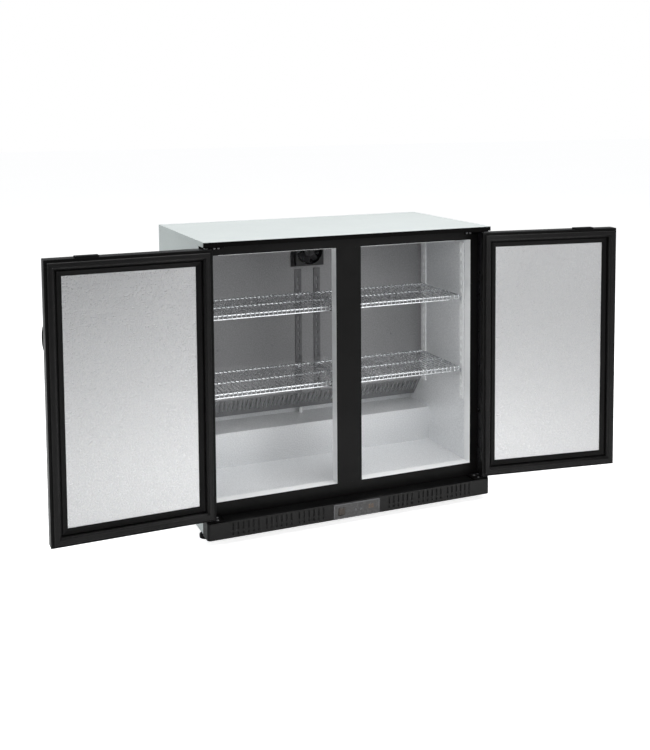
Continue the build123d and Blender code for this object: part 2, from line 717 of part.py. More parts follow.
def wall_pilaster(side, d):
    """A slotted rail on a side wall."""
    x0, x1 = sorted((side * (INNER_X - PILASTER_T), side * INNER_X))
    with BuildPart() as piece:
        slab(x0, x1, d - PILASTER_W / 2, d + PILASTER_W / 2, PILASTER_Z0, PILASTER_Z1)
        for z in PILASTER_HOLES:
            slab(x0, x1, d - 2.5, d + 2.5, z - 6, z + 6, Mode.SUBTRACT)
    return piece.part


def front_pilaster(x, d0, top):
    """A slotted rail that faces the front or the back."""
    with BuildPart() as piece:
        slab(x - PILASTER_W / 2, x + PILASTER_W / 2, d0, d0 + PILASTER_T, PILASTER_Z0, top)
        for z in [hole for hole in PILASTER_HOLES if hole < top - 10]:
            slab(x - 2.5, x + 2.5, d0, d0 + PILASTER_T, z - 6, z + 6, Mode.SUBTRACT)
    return piece.part


pilasters = []
for side in (-1, 1):
    pilasters += [
        wall_pilaster(side, 105),
        wall_pilaster(side, 350),
        front_pilaster(side * CENTRE_X, COVER_D - PILASTER_T, 700),
        front_pilaster(side * 15, MULLION_FACE_D, PILASTER_Z1),
    ]
save(Compound(children=pilasters), "wall_pilasters")

clips = []
for deck in (UPPER_DECK_Z, LOWER_DECK_Z):
    seat = deck - 2 * WIRE_R - 2 * ROD_R + WELD - SEAT_GAP
    for side in (-1, 1):
        wall_x = INNER_X - PILASTER_T
        for d in (105, 342):
            reach0, reach1 = sorted((side * (wall_x - 13), side * wall_x))
            root0, root1 = sorted((side * (wall_x - 2), side * wall_x))
            with BuildPart() as clip:
                slab(reach0, reach1, d - 4, d + 4, seat - 2.5, seat)
                slab(root0, root1, d - 4, d + 4, seat - 14, seat - 2.5)
            clips.append(clip.part)
        centre_d = COVER_D - PILASTER_T
        with BuildPart() as clip:
            slab(side * CENTRE_X - 4, side * CENTRE_X + 4, 337, centre_d, seat - 2.5, seat)
            slab(side * CENTRE_X - 4, side * CENTRE_X + 4, centre_d - 2, centre_d, seat - 14, seat - 2.5)
        clips.append(clip.part)
        mullion_d = MULLION_FACE_D + PILASTER_T
        lip_seat = deck - LIP_DROP - LIP_R - SEAT_GAP
        with BuildPart() as clip:
            slab(side * 15 - 4, side * 15 + 4, mullion_d, 102, lip_seat - 2.5, lip_seat)
            slab(side * 15 - 4, side * 15 + 4, mullion_d, mullion_d + 2, lip_seat - 14, lip_seat - 2.5)
        clips.append(clip.part)
save(Compound(children=clips), "shelf_clips")


def shelf(side, deck):
    """A shelf of parallel wires welded across three rods, with the wire ends turned down in front."""
    wire_z = deck - WIRE_R
    rod_z = wire_z - WIRE_R - ROD_R + WELD
    lip_d = SHELF_D[0] - ROD_R - WIRE_R + WELD
    lip_z = deck - LIP_DROP
    x0, x1 = sorted((side * SHELF_X[0], side * SHELF_X[1]))
    pitch = (x1 - x0 - 8) / (WIRE_COUNT - 1)
    with BuildPart() as wire:
        pipe(((0, 345, wire_z), (0, lip_d, wire_z), (0, lip_d, lip_z)), WIRE_R, 5)
    with BuildPart() as grid:
        for d in SHELF_D:
            rod(d, rod_z, ROD_R, x0 - ROD_R, x1 + ROD_R)
        for x in (x0, x1):
            axle(x, rod_z, ROD_R, SHELF_D[0], SHELF_D[-1])
        rod(lip_d, lip_z, LIP_R, x0 - ROD_R, x1 + ROD_R)
        with Locations(*[(x0 + 4 + pitch * place, 0, 0) for place in range(WIRE_COUNT)]):
            add(wire.part)
    return grid.part


save(shelf(-1, UPPER_DECK_Z), "left_upper_shelf")
save(shelf(-1, LOWER_DECK_Z), "left_lower_shelf")
save(shelf(1, UPPER_DECK_Z), "right_upper_shelf")
save(shelf(1, LOWER_DECK_Z), "right_lower_shelf")

# Refrigeration unit in the bay --------------------------------------------------------------------

with BuildPart() as compressor_shell:
    post(COMPRESSOR_X, COMPRESSOR_D, COMPRESSOR_R, 40, 172)
    fillet(compressor_shell.edges().group_by(Axis.Z)[-1], 34)
    fillet(compressor_shell.edges().group_by(Axis.Z)[0], 20)
    post(COMPRESSOR_X, COMPRESSOR_D, COMPRESSOR_R + 3, 104, 108)
    slab(COMPRESSOR_X - 72, COMPRESSOR_X + 72, COMPRESSOR_D - 60, COMPRESSOR_D + 60, 34, 42)
with BuildPart() as terminal_cover:
    slab(COMPRESSOR_X + 30, COMPRESSOR_X + 82, COMPRESSOR_D + 6, COMPRESSOR_D + 40, 112, 146)
    post(COMPRESSOR_X, COMPRESSOR_D, COMPRESSOR_R, 112, 146, Mode.SUBTRACT)
grommets = []
for x in (-60, 60):
    for d in (-48, 48):
        with BuildPart() as grommet:
            post(COMPRESSOR_X + x, COMPRESSOR_D + d, 9, DECK_Z, 34)
        grommets.append(grommet.part)
save(Compound(children=[compressor_shell.part, terminal_cover.part, *grommets]), "compressor")

CONDENSER_FINS = [CONDENSER_X0 + 12.0 * place for place in range(21)]
condenser_tube = serpentine(CONDENSER_X0, CONDENSER_X1, CONDENSER_D, CONDENSER_Z, 4, 20)
condenser_fins = fins(CONDENSER_FINS[1:-1], 0.8, 360, 400, 32, 178, CONDENSER_D, CONDENSER_Z, 4.1)
condenser_legs = fins((92, 325), 1.5, 358, 402, DECK_Z, 180, CONDENSER_D, CONDENSER_Z, 4.1)
save(Compound(children=[condenser_tube, *condenser_fins, *condenser_legs]), "condenser")

with BuildPart() as shroud:
    slab(COOLING_FAN_X - 76, COOLING_FAN_X + 76, 406, 408, DECK_Z, 178)
    axle(COOLING_FAN_X, COOLING_FAN_Z, 68, 406, 408, Mode.SUBTRACT)
with BuildPart() as fan_motor:
    axle(COOLING_FAN_X, COOLING_FAN_Z, 22, 440, 478)
    axle(COOLING_FAN_X, COOLING_FAN_Z, 3, 414, 440)
    slab(COOLING_FAN_X - 20, COOLING_FAN_X + 20, 478, 481, DECK_Z, 125)
    slab(COOLING_FAN_X - 20, COOLING_FAN_X + 20, 450, 478, DECK_Z, DECK_Z + 3)
save(Compound(children=[shroud.part, fan_motor.part]), "condenser_fan_motor")
save(
    impeller(COOLING_FAN_X, COOLING_FAN_Z, 413, 433, 18, 3, 58, 34, 5, 28),
    "condenser_fan_blade",
)

with BuildPart() as discharge_line:
    pipe(
        (
            (COMPRESSOR_X + COMPRESSOR_R, COMPRESSOR_D, 90),
            (-140, COMPRESSOR_D, 90),
            (-140, CONDENSER_D, 90),
            (-140, CONDENSER_D, CONDENSER_Z[-1]),
            (CONDENSER_X0 - 20, CONDENSER_D, CONDENSER_Z[-1]),
        ),
        4,
        14,
    )
with BuildPart() as filter_drier:
    rod(CONDENSER_D, CONDENSER_Z[0], 10, -24, CONDENSER_X0 - 20)
    fillet(filter_drier.edges(), 5)
with BuildPart() as capillary:
    pipe(
        (
            (-24, CONDENSER_D, CONDENSER_Z[0]),
            (-60, CONDENSER_D, CONDENSER_Z[0]),
            (-60, 487, CONDENSER_Z[0]),
            (CAPILLARY_X, 487, CONDENSER_Z[0]),
            (CAPILLARY_X, PIPE_D, CONDENSER_Z[0]),
            (CAPILLARY_X, PIPE_D, COIL_Z[0]),
            (CAPILLARY_X, COIL_D, COIL_Z[0]),
            (-COIL_X - 22, COIL_D, COIL_Z[0]),
        ),
        CAPILLARY_R,
        10,
    )
with BuildPart() as suction_line:
    pipe(
        (
            (-COIL_X - 22, COIL_D, COIL_Z[-1]),
            (SUCTION_X, COIL_D, COIL_Z[-1]),
            (SUCTION_X, PIPE_D, COIL_Z[-1]),
            (SUCTION_X, PIPE_D, 120),
            (SUCTION_X, COMPRESSOR_D, 120),
            (COMPRESSOR_X - COMPRESSOR_R, COMPRESSOR_D, 120),
        ),
        SUCTION_R,
        11,
    )
lines = [discharge_line.part, filter_drier.part, capillary.part, suction_line.part]
save(Compound(children=lines), "refrigerant_pipes")

# Doors -------------------------------------------------------------------------------------------


class Door:
    """Places shapes on one door, in its own s, t and height coordinates at its open angle."""

    def __init__(self, side, angle):
        self.inner = -side
        turn = radians(angle)
        self.plane = Plane(
            origin=(side * HINGE_X, FRONT + HINGE_D, 0),
            x_dir=(-side * cos(turn), -sin(turn), 0),
            z_dir=(0, 0, 1),
        )

    def block(self, s0, s1, t0, t1, z0, z1, mode=Mode.ADD):
        """A block on the door."""
        with BuildSketch(self.plane.offset(z0)) as outline:
            with Locations(((s0 + s1) / 2, self.inner * (t0 + t1) / 2)):
                Rectangle(s1 - s0, t1 - t0)
        extrude(outline.sketch, amount=z1 - z0, mode=mode)

    def inset(self, distance, t0, t1, mode=Mode.ADD):
        """A block that stays one distance inside the door's outline."""
        self.block(
            DOOR_S0 + distance,
            DOOR_S1 - distance,
            t0,
            t1,
            DOOR_Z0 + distance,
            DOOR_Z1 - distance,
            mode,
        )

    def upright(self, s, t, radius, z0, z1, mode=Mode.ADD):
        """A round bar along the door's height."""
        with BuildSketch(self.plane.offset(z0)) as section:
            with Locations((s, self.inner * t)):
                Circle(radius)
        extrude(section.sketch, amount=z1 - z0, mode=mode)

    def through(self, s, z, radius, t0, t1, mode=Mode.ADD):
        """A round bar across the door's thickness."""
        start = self.plane.from_local_coords((s, self.inner * t0, z))
        with BuildSketch(Plane(origin=start, x_dir=self.plane.x_dir, z_dir=self.facing())) as section:
            Circle(radius)
        extrude(section.sketch, amount=t1 - t0, mode=mode)

    def facing(self):
        """The direction from the outer face to the inner face."""
        return self.plane.y_dir * self.inner

    def bush_holes(self):
        """Clears the two hinge bushes."""
        self.upright(0, 0, BUSH_R, DOOR_Z0, DOOR_Z0 + BUSH_LENGTH, Mode.SUBTRACT)
        self.upright(0, 0, BUSH_R, DOOR_Z1 - BUSH_LENGTH, DOOR_Z1, Mode.SUBTRACT)


def outer_skin(door):
    """The painted steel tray that covers the outer face and wraps the edges."""
    with BuildPart() as tray:
        door.inset(0, FACE_T, TRAY_T)
        outward = Axis(door.plane.origin, -door.facing())
        fillet(tray.edges().filter_by(Axis.Z).sort_by(outward)[-2:], 3)
        door.inset(DOOR_SHEET, FACE_T + DOOR_SHEET, TRAY_T, Mode.SUBTRACT)
        door.bush_holes()
        door.through(LOCK_S, LOCK_Z, SLEEVE_R, FACE_T, FACE_T + DOOR_SHEET, Mode.SUBTRACT)
        door.block(*CAM_SLOT, CAM_T0 - 1, CAM_T1 + 1, DOOR_Z1 - DOOR_SHEET, DOOR_Z1, Mode.SUBTRACT)
    return tray.part


def band(door, outer, inner, t0, t1):
    """A ring around the door between two insets and two depths."""
    with BuildPart() as ring:
        door.inset(outer, t0, t1)
        door.inset(inner, t0, t1, Mode.SUBTRACT)
    return ring.part


def inner_frame(door):
    """The moulded ring around the inner face, with the groove that holds the gasket."""
    groove = band(door, 14, 19, 16.5, RING_T)
    with BuildPart() as frame:
        door.inset(0, TRAY_T, RING_T)
        door.inset(27, 15, RING_T, Mode.SUBTRACT)
        door.inset(LINING_INSET, TRAY_T, 12, Mode.SUBTRACT)
        door.inset(45, 12, 15, Mode.SUBTRACT)
        add(groove, mode=Mode.SUBTRACT)
    return frame.part


def gasket(door):
    """The magnetic seal: a rib in the frame's groove under a pleated bellows."""
    rib = band(door, 14, 19, 16.5, RING_T)
    pleat = band(door, 8, 10.5, 24, 27)
    bellows = band(door, 8, 25, RING_T, GASKET_T)
    with BuildPart() as seal:
        add(bellows)
        add(pleat, mode=Mode.SUBTRACT)
        add(rib)
    return seal.part


def core(door):
    """The foam between the outer tray and the lining."""
    with BuildPart() as foam:
        door.inset(DOOR_SHEET, FACE_T + DOOR_SHEET, TRAY_T)
        door.inset(LINING_INSET, TRAY_T, 11)
        door.bush_holes()
        door.through(LOCK_S, LOCK_Z, SLEEVE_R, FACE_T, 3, Mode.SUBTRACT)
        door.block(LOCK_S - 12, LOCK_S + 34, 3, TRAY_T, LOCK_Z - 12, DOOR_Z1, Mode.SUBTRACT)
    return foam.part


def lining(door):
    """The embossed aluminium sheet of the inner face."""
    with BuildPart() as sheet:
        door.inset(LINING_INSET, 11, 12)
    return sheet.part


HANDLE_S = (417.0, 434.0)
HANDLE_Z = 620.0


def handle(door):
    """A bowed grip blade on one stem."""
    half = 44
    with BuildPart() as grip:
        start = door.plane.from_local_coords((HANDLE_S[0], 0, 0))
        section = Plane(origin=start, x_dir=door.facing(), z_dir=door.plane.x_dir)
        with BuildSketch(section) as blade:
            with BuildLine():
                middle = door.inner * HANDLE_Z
                outer = ThreePointArc((-28, middle - half), (-44, middle), (-28, middle + half))
                back = ThreePointArc((-24, middle - half), (-40, middle), (-24, middle + half))
                Line(outer @ 0, back @ 0)
                Line(outer @ 1, back @ 1)
            make_face()
        extrude(blade.sketch, amount=HANDLE_S[1] - HANDLE_S[0])
        door.block(HANDLE_S[0] + 3, HANDLE_S[1] - 4, -42, FACE_T - 2, HANDLE_Z - 8, HANDLE_Z + 8)
        door.block(HANDLE_S[0] - 2, HANDLE_S[1], FACE_T - 2, FACE_T, HANDLE_Z - 22, HANDLE_Z + 22)
    return grip.part


def lock_housing(door):
    """The barrel's sleeve in the outer face and the slotted guide on the door's top edge."""
    with BuildPart() as sleeve:
        door.through(LOCK_S, LOCK_Z, SLEEVE_R, FACE_T, 3)
        door.through(LOCK_S, LOCK_Z, SLEEVE_R + 2, FACE_T - 1.2, FACE_T)
        door.through(LOCK_S, LOCK_Z, BARREL_R + RUNNING_FIT, FACE_T - 1.2, 3, Mode.SUBTRACT)
    with BuildPart() as guide:
        door.block(293, 355, 0, RING_T, DOOR_Z1, DOOR_Z1 + 4.8)
        door.block(*CAM_SLOT, CAM_T0 - 1, CAM_T1 + 1, DOOR_Z1, DOOR_Z1 + 4.8, Mode.SUBTRACT)
    return Compound(children=[sleeve.part, guide.part])


def lock_barrel(door):
    """The key barrel with its cam, which lies along the door while the lock is open."""
    with BuildPart() as barrel:
        door.through(LOCK_S, LOCK_Z, BARREL_R, FACE_T - 1.8, CAM_T0)
        door.block(LOCK_S - 1, LOCK_S + 1, FACE_T - 1.8, FACE_T + 4, LOCK_Z - 4, LOCK_Z + 4, Mode.SUBTRACT)
        door.through(LOCK_S, LOCK_Z, CAM_WIDTH / 2, CAM_T0, CAM_T1)
        door.block(
            LOCK_S,
            LOCK_S + CAM_REACH,
            CAM_T0,
            CAM_T1,
            LOCK_Z - CAM_WIDTH / 2,
            LOCK_Z + CAM_WIDTH / 2,
        )
    return barrel.part


def bushes(door):
    """The plastic bearings that the hinge pins run in."""
    pair = []
    for z in (DOOR_Z0, DOOR_Z1 - BUSH_LENGTH):
        with BuildPart() as bush:
            door.upright(0, 0, BUSH_R, z, z + BUSH_LENGTH)
            door.upright(0, 0, PIN_R + RUNNING_FIT, z, z + BUSH_LENGTH, Mode.SUBTRACT)
        pair.append(bush.part)
    return Compound(children=pair)


for name, door in (("left", Door(-1, LEFT_ANGLE)), ("right", Door(1, RIGHT_ANGLE))):
    save(outer_skin(door), f"{name}_door_outer_skin")
    save(inner_frame(door), f"{name}_door_frame")
    save(core(door), f"{name}_door_foam")
    save(lining(door), f"{name}_door_inner_panel")
    save(gasket(door), f"{name}_door_gasket")
    save(handle(door), f"{name}_door_handle")
    save(lock_housing(door), f"{name}_lock_housing")
    save(lock_barrel(door), f"{name}_lock_barrel")
    save(bushes(door), f"{name}_hinge_bushes")
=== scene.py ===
"""The looks of a two-door undercounter refrigerator: materials, small details, light and camera.

Everything is in metres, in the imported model's frame: +Z up, X along the front and Y towards the back.
"""

import json
from math import cos, pi, radians, sin

import bmesh
import bpy
from mathutils import Matrix, Vector


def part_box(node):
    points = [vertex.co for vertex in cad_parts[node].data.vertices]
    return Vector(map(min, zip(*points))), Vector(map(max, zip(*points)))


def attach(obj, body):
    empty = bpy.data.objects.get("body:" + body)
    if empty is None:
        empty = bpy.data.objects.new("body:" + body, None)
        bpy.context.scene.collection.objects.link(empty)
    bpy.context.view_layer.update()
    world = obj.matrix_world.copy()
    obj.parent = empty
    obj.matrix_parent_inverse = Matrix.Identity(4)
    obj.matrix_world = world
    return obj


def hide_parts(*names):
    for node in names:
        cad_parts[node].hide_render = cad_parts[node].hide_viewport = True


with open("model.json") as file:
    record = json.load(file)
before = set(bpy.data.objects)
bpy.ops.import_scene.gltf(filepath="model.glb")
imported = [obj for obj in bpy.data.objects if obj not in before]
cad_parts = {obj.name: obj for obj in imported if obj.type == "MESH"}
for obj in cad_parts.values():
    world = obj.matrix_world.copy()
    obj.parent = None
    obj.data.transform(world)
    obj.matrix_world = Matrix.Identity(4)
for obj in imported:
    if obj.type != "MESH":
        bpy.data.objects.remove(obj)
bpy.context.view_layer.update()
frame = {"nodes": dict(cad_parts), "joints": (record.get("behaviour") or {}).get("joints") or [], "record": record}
nodes = frame["nodes"]

MM = 0.001

FILTER_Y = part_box("kick_grille")[0].y + 1.5 * MM
MULLION_ZONE = (0.20, 0.22)
WHITE = (1.0, 1.0, 1.0, 1.0)


# Node-material helpers ---------------------------------------------------------------------------


class Look:
    """A node material under construction around one Principled shader."""

    def __init__(self, name, **settings):
        self.material = bpy.data.materials.new(name)
        self.material.use_nodes = True
        self.tree = self.material.node_tree
        self.shader = self.tree.nodes["Principled BSDF"]
        self.place = self.node("ShaderNodeTexCoord").outputs["Object"]
        for socket, value in settings.items():
            self.shader.inputs[socket.replace("_", " ")].default_value = value

    def node(self, kind, **values):
        """A new node with some of its properties or inputs set."""
        made = self.tree.nodes.new(kind)
        for key, value in values.items():
            if hasattr(made, key):
                setattr(made, key, value)
            else:
                made.inputs[key.replace("_", " ")].default_value = value
        return made

    def link(self, output, target):
        """Joins an output to an input."""
        self.tree.links.new(output, target)

    def scaled(self, x, y, z):
        """Object coordinates stretched along each axis."""
        mapping = self.node("ShaderNodeMapping")
        mapping.inputs["Scale"].default_value = (x, y, z)
        self.link(self.place, mapping.inputs["Vector"])
        return mapping.outputs["Vector"]

    def noise(self, scale, detail=3.0, place=None, roughness=0.55):
        """Fractal noise."""
        texture = self.node("ShaderNodeTexNoise", Scale=scale, Detail=detail, Roughness=roughness)
        self.link(place or self.place, texture.inputs["Vector"])
        return texture.outputs["Fac"]

    def cells(self, scale, feature="F1", place=None, smooth=None):
        """Distances inside Voronoi cells."""
        texture = self.node("ShaderNodeTexVoronoi", feature=feature, Scale=scale)
        if smooth is not None:
            texture.inputs["Smoothness"].default_value = smooth
        self.link(place or self.place, texture.inputs["Vector"])
        return texture.outputs["Distance"]

    def ramp(self, value, low, high, start=0.0, end=1.0):
        """A value turned into a blend of two numbers or two colours."""
        ramp = self.node("ShaderNodeValToRGB")
        first, last = ramp.color_ramp.elements
        first.position = start
        last.position = end
        first.color = colour(low)
        last.color = colour(high)
        self.link(value, ramp.inputs["Fac"])
        return ramp.outputs["Color"]

    def mix(self, share, a, b, blend="MIX"):
        """A blend of two colour outputs."""
        mixer = self.node("ShaderNodeMix", data_type="RGBA", blend_type=blend)
        if isinstance(share, float):
            mixer.inputs["Factor"].default_value = share
        else:
            self.link(share, mixer.inputs["Factor"])
        for value, socket in ((a, mixer.inputs[6]), (b, mixer.inputs[7])):
            if isinstance(value, tuple):
                socket.default_value = colour(value)
            else:
                self.link(value, socket)
        return mixer.outputs[2]

    def bump(self, height, distance, strength=1.0):
        """Adds a bump on top of those already there."""
        bump = self.node("ShaderNodeBump", Strength=strength, Distance=distance)
        self.link(height, bump.inputs["Height"])
        normal = self.shader.inputs["Normal"]
        if normal.links:
            self.link(normal.links[0].from_socket, bump.inputs["Normal"])
        self.link(bump.outputs["Normal"], normal)

    def soft_edges(self, radius):
        """Rounds sharp edges in the shading. Comes before any bump."""
        bevel = self.node("ShaderNodeBevel", samples=6, Radius=radius)
        self.link(bevel.outputs["Normal"], self.shader.inputs["Normal"])

    def edge_mask(self, radius):
        """One along sharp edges and nought on flat ground."""
        bevel = self.node("ShaderNodeBevel", samples=6, Radius=radius)
        geometry = self.node("ShaderNodeNewGeometry")
        dot = self.node("ShaderNodeVectorMath", operation="DOT_PRODUCT")
        self.link(bevel.outputs["Normal"], dot.inputs[0])
        self.link(geometry.outputs["True Normal"], dot.inputs[1])
        return self.ramp(dot.outputs["Value"], 1.0, 0.0, 0.80, 0.99)

    def paint(self, output):
        """Sets the colour."""
        self.link(output, self.shader.inputs["Base Color"])

    def roughness(self, output):
        """Sets the roughness."""
        self.link(output, self.shader.inputs["Roughness"])


def colour(value):
    """A grey level or an RGB triple as RGBA."""
    if isinstance(value, (int, float)):
        return (value, value, value, 1.0)
    return (*value, 1.0)


# Materials ---------------------------------------------------------------------------------------


def coated_steel(name, dark, light, rough, peel=0.00006, gloss=0.5):
    """Powder-coated sheet: fine orange peel, faint cloudiness and a painted highlight that makes the sharp edges
    slightly brighter.
    """
    look = Look(name, Specular_IOR_Level=gloss)
    look.soft_edges(0.0008)
    cloud = look.noise(3.0, 4.0)
    base = look.ramp(cloud, dark, light, 0.3, 0.7)
    # Painted highlight: sharp edges get a lighter colour than the flat sheet, standing in for light caught on
    # rounded edges.
    edge = look.edge_mask(0.0006)
    painted_edge_highlight = tuple(min(1.0, c * 1.2 + 0.002) for c in light)
    look.paint(look.mix(edge, base, painted_edge_highlight))
    look.roughness(look.ramp(look.noise(60.0, 3.0), rough - 0.05, rough + 0.07, 0.3, 0.7))
    look.bump(look.noise(700.0, 2.0), peel)
    return look.material


def moulded_plastic(name, dark, light, rough, grain=0.00004, grain_scale=1400.0, gloss=0.45):
    """Injection-moulded plastic with a fine leathery grain and a few dull patches."""
    look = Look(name, Specular_IOR_Level=gloss)
    look.soft_edges(0.0006)
    look.paint(look.ramp(look.noise(8.0, 5.0), dark, light, 0.3, 0.7))
    look.roughness(look.ramp(look.noise(25.0, 5.0), rough - 0.06, rough + 0.08, 0.3, 0.7))
    look.bump(look.cells(grain_scale, "SMOOTH_F1", smooth=0.6), grain)
    return look.material


def brushed_metal(name, tone, rough, along):
    """Rolled or drawn metal with fine lines along one axis."""
    look = Look(name, Metallic=1.0)
    look.soft_edges(0.0005)
    stretch = [900.0, 900.0, 900.0]
    stretch["XYZ".index(along)] = 12.0
    lines = look.noise(1.0, 4.0, look.scaled(*stretch))
    darker = tuple(c * 0.86 for c in tone)
    look.paint(look.mix(look.noise(9.0, 4.0), look.ramp(lines, darker, tone, 0.3, 0.7), tone))
    look.roughness(look.ramp(lines, rough - 0.07, rough + 0.10, 0.25, 0.75))
    look.bump(lines, 0.00003)
    return look.material


def plated_wire(name):
    """Bright zinc plating with slight ripples and duller welds."""
    look = Look(name, Metallic=1.0)
    look.paint(look.ramp(look.noise(40.0, 4.0), (0.62, 0.64, 0.66), (0.86, 0.87, 0.88), 0.3, 0.7))
    look.roughness(look.ramp(look.noise(90.0, 4.0), 0.14, 0.34, 0.3, 0.7))
    look.bump(look.noise(500.0, 2.0), 0.00004)
    return look.material


def stucco(name, dark, light, rough, depth=0.0007, metal=1.0):
    """Embossed sheet: small irregular dimples that break the reflection into light and dark flecks."""
    look = Look(name, Metallic=metal)
    flecks = look.cells(230.0, "SMOOTH_F1", smooth=0.3)
    fine = look.noise(300.0, 3.0)
    look.paint(look.ramp(fine, dark, light, 0.3, 0.7))
    look.roughness(look.ramp(flecks, rough - 0.07, rough + 0.09, 0.1, 0.6))
    look.bump(flecks, depth, 0.8)
    look.bump(fine, depth * 0.2)
    return look.material


def pilaster_sheet(name):
    """White-coated rails on the side walls, dark ones on the cover behind the mullion."""
    look = Look(name)
    look.soft_edges(0.0005)
    apart = look.node("ShaderNodeSeparateXYZ")
    look.link(look.place, apart.inputs[0])
    away = look.node("ShaderNodeMath", operation="ABSOLUTE")
    look.link(apart.outputs["X"], away.inputs[0])
    wall = look.ramp(away.outputs[0], 0.0, 1.0, *MULLION_ZONE)
    grain = look.noise(60.0, 4.0)
    white = look.ramp(grain, (0.74, 0.75, 0.75), (0.80, 0.81, 0.81), 0.3, 0.7)
    dark = look.ramp(grain, (0.10, 0.10, 0.105), (0.14, 0.14, 0.145), 0.3, 0.7)
    look.paint(look.mix(wall, dark, white))
    look.roughness(look.ramp(grain, 0.32, 0.46, 0.3, 0.7))
    look.bump(look.noise(700.0, 2.0), 0.00004)
    return look.material


def vented_plastic(name, dark, light, rough, filter_y):
    """Moulded plastic with a darker dust filter behind its slots."""
    look = Look(name, Specular_IOR_Level=0.24)
    look.soft_edges(0.0008)
    apart = look.node("ShaderNodeSeparateXYZ")
    look.link(look.place, apart.inputs[0])
    behind = look.node("ShaderNodeMath", operation="GREATER_THAN")
    behind.inputs[1].default_value = filter_y
    look.link(apart.outputs["Y"], behind.inputs[0])
    grain = look.noise(8.0, 5.0)
    weave = look.ramp(look.cells(900.0), (0.0008, 0.0008, 0.0008), (0.0025, 0.0025, 0.0025), 0.2, 0.6)
    look.paint(look.mix(behind.outputs[0], look.ramp(grain, dark, light, 0.3, 0.7), weave))
    look.roughness(look.ramp(look.noise(25.0, 5.0), rough - 0.06, rough + 0.08, 0.3, 0.7))
    look.bump(look.cells(1400.0, "SMOOTH_F1", smooth=0.6), 0.00002)
    return look.material


def soft_rubber(name):
    """Soft PVC: deep black with a dusty bloom."""
    look = Look(name, Specular_IOR_Level=0.27)
    bloom = look.noise(14.0, 5.0)
    look.paint(look.ramp(bloom, (0.0035, 0.0033, 0.0033), (0.007, 0.0066, 0.0065), 0.3, 0.7))
    look.roughness(look.ramp(look.noise(50.0, 4.0), 0.36, 0.50, 0.3, 0.7))
    look.bump(look.noise(900.0, 2.0), 0.00003)
    return look.material


def rigid_foam(name):
    """Cut polyurethane foam."""
    look = Look(name, Roughness=0.9)
    look.paint(look.ramp(look.noise(30.0, 5.0), (0.72, 0.62, 0.38), (0.86, 0.78, 0.55), 0.3, 0.7))
    look.bump(look.cells(900.0), 0.0003)
    return look.material


def smoke_lens(name):
    """Dark smoky acrylic over the display."""
    look = Look(name, Specular_IOR_Level=0.5, Coat_Weight=0.3, Coat_Roughness=0.08)
    look.soft_edges(0.0004)
    haze = look.noise(20.0, 4.0)
    look.paint(look.ramp(haze, (0.043, 0.0425, 0.042), (0.056, 0.055, 0.054), 0.3, 0.7))
    look.roughness(look.ramp(look.noise(120.0, 4.0), 0.20, 0.32, 0.3, 0.7))
    look.bump(look.noise(300.0, 2.0), 0.00002)
    return look.material


def lamp_diffuser(name):
    """Milky cover of the LED strip."""
    look = Look(name, Roughness=0.4, Emission_Strength=0.6)
    look.shader.inputs["Emission Color"].default_value = WHITE
    look.paint(look.ramp(look.noise(30.0, 3.0), (0.86, 0.88, 0.89), (0.95, 0.96, 0.97), 0.3, 0.7))
    look.bump(look.noise(1.0, 2.0, look.scaled(900.0, 20.0, 20.0)), 0.00006)
    return look.material


def copper(name):
    """Drawn copper with darker tarnish."""
    look = Look(name, Metallic=1.0)
    look.paint(look.ramp(look.noise(35.0, 5.0), (0.45, 0.19, 0.10), (0.86, 0.44, 0.27), 0.3, 0.7))
    look.roughness(look.ramp(look.noise(60.0, 4.0), 0.22, 0.45, 0.3, 0.7))
    look.bump(look.noise(400.0, 2.0), 0.00004)
    return look.material


def amber_plastic(name, dark, light, glow):
    """Translucent amber plastic lit from behind."""
    look = Look(name, Emission_Strength=glow)
    look.shader.inputs["Emission Color"].default_value = (1.0, 0.45, 0.10, 1.0)
    look.soft_edges(0.0004)
    grain = look.noise(60.0, 3.0)
    look.paint(look.ramp(grain, dark, light, 0.3, 0.7))
    look.roughness(look.ramp(grain, 0.22, 0.36, 0.3, 0.7))
    look.bump(look.noise(600.0, 2.0), 0.00002)
    return look.material


